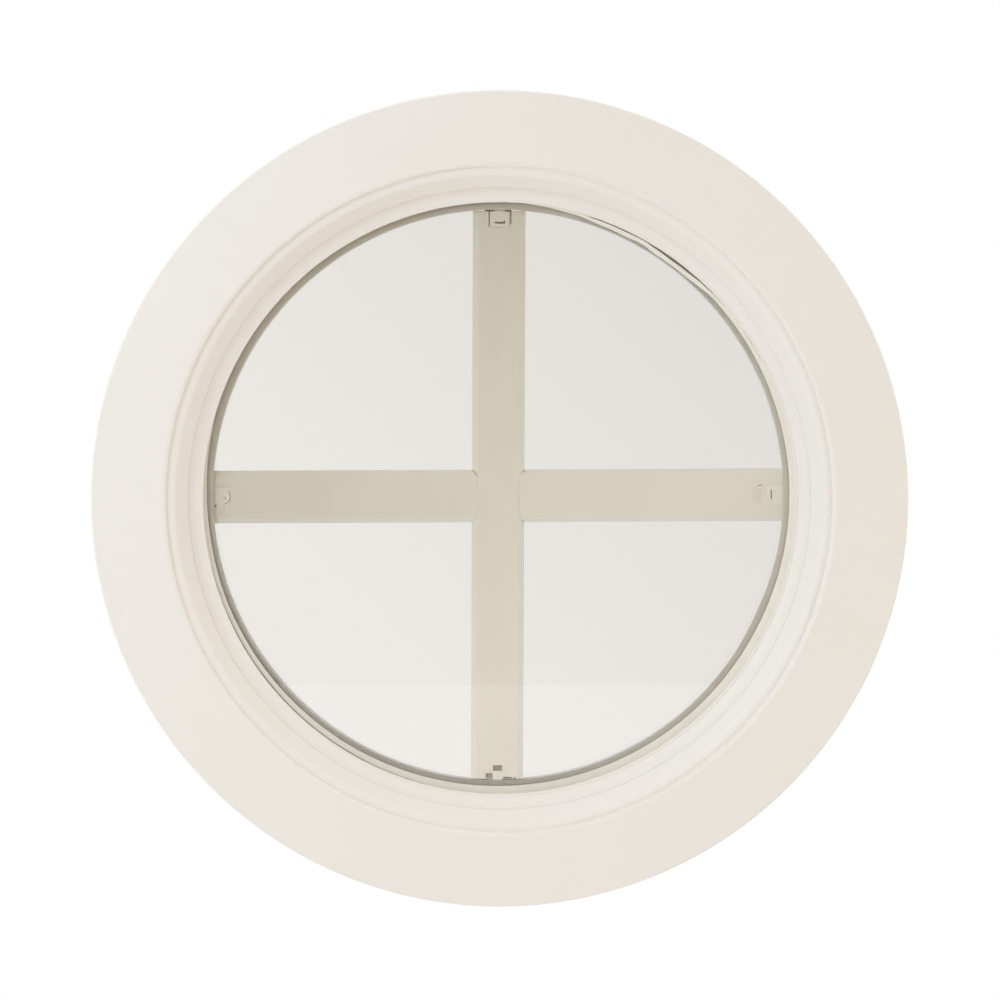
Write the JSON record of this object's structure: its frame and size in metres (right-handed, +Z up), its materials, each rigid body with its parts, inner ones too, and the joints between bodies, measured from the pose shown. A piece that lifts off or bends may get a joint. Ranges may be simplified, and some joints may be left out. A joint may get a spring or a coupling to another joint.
{
  "type": "round window",
  "caption": "Round fixed window: a flat flange and stepped moulding round a sealed glazed unit with a flat cross of bars between its panes.",
  "frame": {"origin": "on the window's axis, in the plane where the back of the flange bears on the wall", "axes": "+Y along the axis, from the front into the wall; +Z up; +X to the right as the front is seen"},
  "size_m": [0.5716, 0.076, 0.5716],
  "materials": {
    "frame_polymer": "moulded, satin off-white",
    "clear_glass": "clear float glass",
    "foam_tape": "closed-cell foam",
    "spacer_metal": "mill finish, rolled",
    "key_metal": "zinc plated",
    "drying_beads": "fine beads",
    "butyl": "dull grey-olive",
    "edge_seal": "dull light olive grey",
    "bar_paint": "satin beige paint",
    "clip_plastic": "moulded beige",
    "block_plastic": "moulded grey",
    "gasket_rubber": "black gasket",
    "screw_metal": "zinc plated"
  },
  "bodies": {
    "root": {"frame": "frame_polymer", "front_glazing_tape": "foam_tape", "front_pane": "clear_glass", "rear_pane": "clear_glass", "spacer_bar": "spacer_metal", "spacer_key": "key_metal", "desiccant": "drying_beads", "front_butyl_seal": "butyl", "rear_butyl_seal": "butyl", "edge_sealant": "edge_seal", "vertical_bar": "bar_paint", "horizontal_bar_left": "bar_paint", "horizontal_bar_right": "bar_paint", "cross_joiner": "clip_plastic", "end_clip_top": "clip_plastic", "end_clip_bottom": "clip_plastic", "end_clip_left": "clip_plastic", "end_clip_right": "clip_plastic", "setting_block_left": "block_plastic", "setting_block_right": "block_plastic", "location_block_left": "block_plastic", "location_block_right": "block_plastic", "rear_gasket": "gasket_rubber", "glazing_bead": "frame_polymer", "bead_screws": "screw_metal"}
  },
  "joints": []
}
